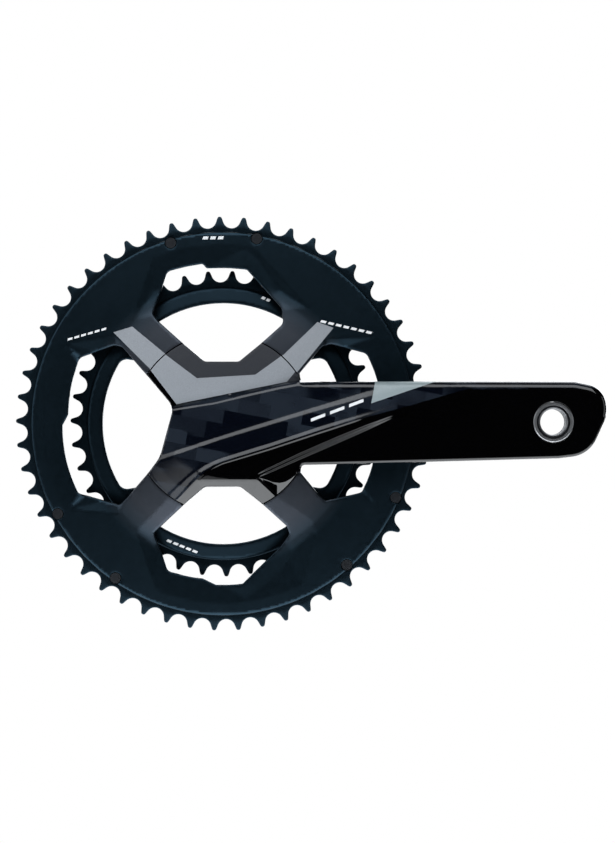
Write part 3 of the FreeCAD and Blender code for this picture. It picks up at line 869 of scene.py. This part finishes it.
def build_inner_ring(m):
    outer = tooth_loop(INNER_TEETH, INNER_ROOT, INNER_TIP, INNER_PHASE)
    window = rounded(inner_window_corners())
    bolts = [circle(BOLT_HOLE_R, *polar(BOLT_CIRCLE_R, a)) for a in BOLT_ANGLES]
    steps = (INNER_TAB_R, INNER_TAB_R + 0.4, INNER_BODY_R - 0.8, INNER_BODY_R,
             INNER_BODY_R + 0.05)
    creases = [closed_circle(r) for r in steps]
    edges = [Edge(0.45, 0.3), Edge(0.8, 0.6)]
    ring = plate(
        "inner_ring", outer, [window] + bolts, inner_front, inner_back, edges, pick_inner_edge,
        creases=creases, spacing=1.3, back_edge=0.4,
        back_creases=[closed_circle(r)
                      for r in (INNER_TAB_R, INNER_TAB_R - STEP_WIDTH, INNER_ROOT)],
        materials=(m["anodised_navy"],))
    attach(ring, "crank")
    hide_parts("inner_chainring")
    return ring


# ------------------------------------------------------------ turned pieces

def build_pedal_insert(m):
    """Metal insert with the pedal's thread cut in its bore."""
    face = ARM_OUTER_FACE + 0.35
    back = ARM_INNER_FACE - 0.3
    profile = [(7.6, back), (10.2, back), (10.4, back + 0.3), (10.4, face - 0.35), (10.05, face),
               (8.9, face), (8.7, face - 0.25), (8.6, face - 2.4), (7.6, face - 2.5),
               (7.1, face - 3.0)]
    top, bottom = face - 3.1, back + 0.8
    count = 9
    pitch = (top - bottom) / count
    for i in range(count):
        y = top - i * pitch
        profile += [(6.7, y), (6.7, y - 0.12 * pitch), (7.25, y - 0.5 * pitch),
                    (7.25, y - 0.62 * pitch)]
    profile += [(6.7, bottom)]
    profile = profile[::-1]
    middles = np.add(profile, profile[1:] + profile[:1]) / 2
    # The recess inside the rim takes the black alloy look as painted shade.
    shaded_recess = [int(7.5 < r < 8.8 and y > face - 2.7) for r, y in middles]
    insert = lathe("pedal_thread_insert", profile, (m["bright_alloy"], m["black_alloy"]), shaded_recess,
                   x=CRANK_LENGTH)
    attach(insert, "crank")
    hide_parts("pedal_insert")
    return insert


# ------------------------------------------------------------ printed marks

def strip_mark(name, centre_line, width, level, material, lift=0.05):
    """A thin printed bar that lies on a surface of that level."""
    verts = []
    faces = []
    line = polyline(centre_line, 0.6)
    ahead = unit(line[-1] - line[0])
    side = np.array([0.35 * ahead[0] - ahead[1], 0.35 * ahead[1] + ahead[0]]) * width / 2
    rows = np.stack([line - side, line + side], axis=1).reshape(-1, 2)
    for (x, z), h in zip(rows, level(rows)):
        verts.append((x * MM, -(h + lift) * MM, z * MM))
    for n in range(2, len(verts), 2):
        faces.append((n - 2, n, n + 1, n - 1))
    return mesh_object(name, verts, faces, (material,))


def dashes(start, end, height, count):
    """Evenly spaced bars along a line, as (start, end, height)."""
    start, end = np.array(start), np.array(end)
    bars = []
    for i in range(count):
        first = start + (end - start) * (i + 0.12) / count
        last = start + (end - start) * (i + 0.82) / count
        bars.append((first, last, height))
    return bars


def print_piece(name, bars, level, m):
    strips = [strip_mark("bar", [start, end], height, level, m["print"])
              for start, end, height in bars]
    marks = join(strips[0], strips[1:])
    marks.name = name
    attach(marks, "crank")


def build_marks(m):
    """Plain bars where such a crankset carries print."""
    arm_bars = [((46.5, 1.6), (54.0, 4.4), 1.5), ((56.5, 5.3), (64.0, 8.1), 1.5),
                ((66.5, 9.0), (74.0, 11.8), 1.5)]
    print_piece("arm_print", arm_bars, arm_front, m)
    outer_bars = (dashes((-10.5, 98.0), (1.5, 98.0), 1.6, 3)
                  + dashes((-82.0, 44.6), (-60.5, 50.6), 1.1, 6)
                  + dashes((51.5, 53.9), (79.5, 47.2), 1.3, 7))
    print_piece("outer_ring_print", outer_bars, ring_front, m)
    inner_bars = (dashes((20.5, 67.0), (25.5, 64.8), 1.5, 2)
                  + dashes((-30.5, -61.5), (-13.5, -68.5), 1.3, 5))
    print_piece("inner_ring_print", inner_bars, inner_front, m)


# ------------------------------------------------------------ materials

class Look:
    """A node material and the few calls that build one."""

    def __init__(self, name, color, roughness, metallic=0.0, coat=0.0, coat_roughness=0.05):
        self.material = bpy.data.materials.new(name)
        self.material.use_nodes = True
        self.nodes = self.material.node_tree.nodes
        self.links = self.material.node_tree.links
        self.shader = self.nodes["Principled BSDF"]
        self.set("Base Color", (*color, 1.0))
        self.set("Roughness", roughness)
        self.set("Metallic", metallic)
        self.set("Coat Weight", coat)
        self.set("Coat Roughness", coat_roughness)
        self.place = self.nodes.new("ShaderNodeTexCoord").outputs["Object"]

    def set(self, socket, value):
        self.shader.inputs[socket].default_value = value

    def node(self, kind, **values):
        node = self.nodes.new(kind)
        for key, value in values.items():
            if hasattr(node, key):
                setattr(node, key, value)
            else:
                node.inputs[key.replace("_", " ")].default_value = value
        return node

    def noise(self, scale, detail=2.0, vector=None):
        node = self.node("ShaderNodeTexNoise", Scale=scale, Detail=detail)
        self.links.new(vector or self.place, node.inputs["Vector"])
        return node.outputs["Fac"]

    def mapped(self, rotation=(0, 0, 0), scale=(1, 1, 1)):
        node = self.node("ShaderNodeMapping")
        node.inputs["Rotation"].default_value = rotation
        node.inputs["Scale"].default_value = scale
        self.links.new(self.place, node.inputs["Vector"])
        return node.outputs["Vector"]

    def spread(self, factor, low, high, from_low=0.0, from_high=1.0):
        node = self.node("ShaderNodeMapRange")
        for key, value in (("From Min", from_low), ("From Max", from_high), ("To Min", low),
                           ("To Max", high)):
            node.inputs[key].default_value = value
        self.links.new(factor, node.inputs["Value"])
        return node.outputs["Result"]

    def mix(self, factor, low, high):
        node = self.node("ShaderNodeMix", data_type="RGBA")
        for socket, value in ((node.inputs[6], low), (node.inputs[7], high)):
            if isinstance(value, tuple):
                socket.default_value = (*value, 1.0)
            else:
                self.links.new(value, socket)
        self.links.new(factor, node.inputs[0])
        return node.outputs[2]

    def color(self, output):
        self.links.new(output, self.shader.inputs["Base Color"])

    def roughness(self, output):
        self.links.new(output, self.shader.inputs["Roughness"])

    def bump(self, output, depth, strength=1.0):
        """depth is the full height of the bumps in metres."""
        node = self.node("ShaderNodeBump", Strength=strength, Distance=depth)
        self.links.new(output, node.inputs["Height"])
        self.links.new(node.outputs["Normal"], self.shader.inputs["Normal"])


def gloss_black():
    look = Look("gloss_black", (0.0001, 0.0001, 0.0002), 0.16, coat=1.0, coat_roughness=0.045)
    look.color(look.mix(look.spread(look.noise(900, 3), 0, 1, 0.35, 0.7),
                        (0.00005, 0.00005, 0.0001), (0.0003, 0.0003, 0.0005)))
    look.set("Specular IOR Level", 0.03)
    look.bump(look.noise(160, 2), 0.00002)
    return look.material


def satin_carbon():
    """Chopped carbon tow: long rectangular chips of several shades under a satin clear coat."""
    look = Look("satin_carbon", (0.002, 0.004, 0.008), 0.30, coat=1.0, coat_roughness=0.14)
    look.set("Specular IOR Level", 0.03)
    turned = look.mapped(rotation=(math.radians(90), 0, 0))
    slanted = look.node("ShaderNodeMapping")
    slanted.inputs["Rotation"].default_value = (0, 0, math.radians(-11))
    look.links.new(turned, slanted.inputs["Vector"])
    chips = []
    for width, row, offset in ((0.022, 0.0090, 0.37), (0.017, 0.0072, 0.61)):
        brick = look.node("ShaderNodeTexBrick", offset=offset)
        for key, value in (("Scale", 1.0), ("Mortar Size", 0.0), ("Bias", 0.0),
                           ("Brick Width", width), ("Row Height", row)):
            brick.inputs[key].default_value = value
        brick.inputs["Color1"].default_value = (0, 0, 0, 1)
        brick.inputs["Color2"].default_value = (1, 1, 1, 1)
        look.links.new(slanted.outputs["Vector"], brick.inputs["Vector"])
        chips.append(look.spread(brick.outputs["Color"], 0, 1, 0.25, 0.75))
    big = look.mix(chips[0], (0.0002, 0.0008, 0.0028), (0.0075, 0.0105, 0.0160))
    small = look.mix(chips[1], (0.0003, 0.0010, 0.0030), (0.0095, 0.0130, 0.0190))
    blend = look.spread(look.noise(45, 1), 0, 1, 0.44, 0.56)
    look.color(look.mix(blend, big, small))
    look.roughness(look.spread(look.noise(700, 2), 0.26, 0.36))
    look.bump(look.noise(1400, 2), 0.00002)
    return look.material


def painted(name, color, roughness=0.34, shine=0.5):
    """Fine metallic paint with flake and slight mottling."""
    look = Look(name, color, roughness, metallic=0.1, coat=shine / 2, coat_roughness=0.25)
    look.set("Specular IOR Level", shine)
    dark = tuple(c * 0.88 for c in color)
    light = tuple(min(1.0, c * 1.08) for c in color)
    look.color(look.mix(look.spread(look.noise(2600, 2), 0, 1, 0.3, 0.7), dark, light))
    look.roughness(look.spread(look.noise(300, 2), roughness - 0.05, roughness + 0.07))
    look.bump(look.noise(1800, 1), 0.00001)
    return look.material


def anodised(name, grey_from, grey_to, tone=1.0):
    """Bead-blasted aluminium, navy-black, turning to grey towards the spider."""
    look = Look(name, (0.012, 0.021, 0.030), 0.34, metallic=1.0)
    dark, light = (0.0125, 0.0235, 0.0330), (0.0150, 0.0275, 0.0385)
    navy = look.mix(look.spread(look.noise(45, 3), 0, 1, 0.3, 0.7),
                    tuple(c * tone for c in dark), tuple(c * tone for c in light))
    radius = look.node("ShaderNodeVectorMath", operation="LENGTH")
    look.links.new(look.mapped(scale=(1, 0, 1)), radius.inputs[0])
    far = look.spread(radius.outputs["Value"], 0, 1, grey_from, grey_to)
    look.color(look.mix(far, (0.044, 0.050, 0.061), navy))
    look.roughness(look.spread(look.noise(500, 3), 0.29, 0.38))
    look.bump(look.noise(2400, 2), 0.00002)
    return look.material


def turned_metal(name, color, roughness):
    """Metal with the fine rings that a lathe leaves, about the spindle axis."""
    look = Look(name, color, roughness, metallic=1.0)
    wave = look.node("ShaderNodeTexWave", wave_type="RINGS", rings_direction="Y")
    wave.inputs["Scale"].default_value = 900
    wave.inputs["Distortion"].default_value = 1.5
    look.links.new(look.place, wave.inputs["Vector"])
    look.color(look.mix(look.spread(look.noise(200, 3), 0, 1, 0.3, 0.7),
                        tuple(c * 0.8 for c in color), color))
    look.roughness(look.spread(wave.outputs["Fac"], roughness - 0.06, roughness + 0.06))
    look.bump(wave.outputs["Fac"], 0.00001)
    return look.material


def moulded(name, color, roughness, shine=0.5):
    """Moulded plastic or rubber with a fine grain."""
    look = Look(name, color, roughness)
    look.set("Specular IOR Level", shine)
    look.color(look.mix(look.noise(120, 3), tuple(c * 0.8 for c in color), color))
    look.roughness(look.spread(look.noise(900, 2), roughness - 0.08, roughness + 0.08))
    look.bump(look.noise(1500, 2), 0.00004)
    return look.material


def build_materials():
    return {
        "gloss_black": gloss_black(),
        "satin_carbon": satin_carbon(),
        "charcoal": painted("charcoal", (0.024, 0.026, 0.031), 0.42, 0.15),
        "silver": painted("silver", (0.20, 0.215, 0.235), 0.40),
        "pale": painted("pale", (0.20, 0.24, 0.25), 0.40),
        "anodised": anodised("anodised", 0.060, 0.076),
        "anodised_navy": anodised("anodised_navy", 0.0, 0.01, 0.6),
        "seam_shadow": moulded("seam_shadow", (0.002, 0.002, 0.0025), 0.9, 0.0),
        "print": moulded("print", (0.62, 0.63, 0.64), 0.5),
        "bright_alloy": turned_metal("bright_alloy_metal", (0.30, 0.305, 0.315), 0.34),
        "black_alloy": turned_metal("black_alloy_metal", (0.035, 0.036, 0.04), 0.34),
        "bearing_steel": turned_metal("bearing_steel_metal", (0.52, 0.52, 0.53), 0.22),
        "pin_steel": turned_metal("pin_steel_metal", (0.038, 0.041, 0.046), 0.4),
        "seal_rubber": moulded("seal_rubber_grain", (0.02, 0.02, 0.022), 0.7),
        "shield_plastic": moulded("shield_plastic_grain", (0.028, 0.028, 0.03), 0.5),
        "cage_plastic": moulded("cage_plastic_grain", (0.40, 0.31, 0.18), 0.5),
    }


def dress_cad_nodes(m):
    """Each CAD node that stays gets the look named by its slot in the record."""
    slot_of = {s["node"]: s["material_slot"] for s in frame["record"]["subparts"]}
    for name, node in frame["nodes"].items():
        look = m.get(slot_of[name])
        if look is None:
            continue
        if not node.data.materials:
            node.data.materials.append(look)
        for slot in node.material_slots:
            slot.material = look


# ------------------------------------------------------------ studio

def area_light(name, place, target, width, power, height, reflected):
    data = bpy.data.lights.new(name, "AREA")
    data.shape = "RECTANGLE"
    data.size = width
    data.size_y = height
    data.energy = power
    data.color = LIGHT_COLOR
    light = bpy.data.objects.new(name, data)
    light.location = place
    light.rotation_euler = (Vector(target) - Vector(place)).to_track_quat("-Z", "Y").to_euler()
    light.visible_camera = False
    light.visible_glossy = reflected
    bpy.context.collection.objects.link(light)


LIGHT_COLOR = (0.93, 0.965, 1.0)
MIDDLE = (0.04, -0.05, 0.0)
# name, place, target, width, power in watts, height, and whether it shows in reflections
LIGHTS = (
    ("top_soft", (0.0, -1.16, 1.0), MIDDLE, 1.8, 18, 1.0, True),
    ("left_soft", (-1.3, -0.8, 0.4), MIDDLE, 1.3, 11, 1.4, True),
    ("low_soft", (0.04, -0.38, -0.47), (0.04, -0.38, 0.0), 1.6, 11.5, 0.85, True),
    ("back_top", (0.1, 0.75, 1.25), MIDDLE, 1.4, 7, 0.6, True),
    ("back_soft", (0.1, 1.8, 0.4), MIDDLE, 1.8, 22, 1.2, True),
    ("right_fill", (1.6, -0.3, 0.2), MIDDLE, 0.6, 2, 1.0, True),
    ("matt_fill", (0.0, -1.2, 0.9), MIDDLE, 1.6, 3.5, 1.0, False),
    ("floor_wash", (0.0, 1.2, 1.8), (0.0, 0.9, -0.5), 2.5, 60, 2.5, False),
)


WORLD_LIGHT = 0.012


def build_world():
    """White surroundings to look at, which light the object only weakly."""
    world = bpy.data.worlds.new("studio")
    bpy.context.scene.world = world
    world.use_nodes = True
    nodes, links = world.node_tree.nodes, world.node_tree.links
    background = nodes["Background"]
    path = nodes.new("ShaderNodeLightPath")
    strength = nodes.new("ShaderNodeMapRange")
    strength.inputs["To Min"].default_value = WORLD_LIGHT
    strength.inputs["To Max"].default_value = 1.0
    links.new(path.outputs["Is Camera Ray"], strength.inputs["Value"])
    links.new(strength.outputs["Result"], background.inputs["Strength"])
    background.inputs["Color"].default_value = (1.0, 1.0, 1.0, 1.0)


FLOOR_RADIUS = 1.7
FLOOR_LEVEL = -0.5
FLOOR_SIDES = 72


def build_floor():
    mesh = bpy.data.meshes.new("floor")
    rim = [(*polar(FLOOR_RADIUS, 360 / FLOOR_SIDES * i), FLOOR_LEVEL) for i in range(FLOOR_SIDES)]
    mesh.from_pydata(rim, [], [tuple(range(FLOOR_SIDES))])
    floor = bpy.data.objects.new("floor", mesh)
    bpy.context.collection.objects.link(floor)
    look = Look("floor_paint", (0.86, 0.86, 0.86), 0.8)
    look.roughness(look.spread(look.noise(3, 2), 0.7, 0.85))
    mesh.materials.append(look.material)


CAMERA_DISTANCE = 1.450       # from the outer ring's plane
CAMERA_PLACE = (0.0447, -0.047 - CAMERA_DISTANCE, 0.0009)
CAMERA_ROLL = 0.28            # degrees
CAMERA_LENS = 117.1


def build_camera():
    data = bpy.data.cameras.new("camera")
    data.lens = CAMERA_LENS
    data.sensor_width = 36.0
    data.clip_end = 50.0
    camera = bpy.data.objects.new("camera", data)
    camera.location = CAMERA_PLACE
    camera.rotation_euler = (math.radians(90), math.radians(CAMERA_ROLL), 0)
    bpy.context.collection.objects.link(camera)
    bpy.context.scene.camera = camera


# ------------------------------------------------------------ build

looks = build_materials()
build_camera()
for light_row in LIGHTS:
    area_light(*light_row)
build_world()
build_floor()
dress_cad_nodes(looks)
build_crank_arm(looks)
build_outer_ring(looks)
build_seam_lips(looks)
build_inner_ring(looks)
build_pedal_insert(looks)
build_marks(looks)
bpy.context.scene.view_settings.view_transform = "Standard"
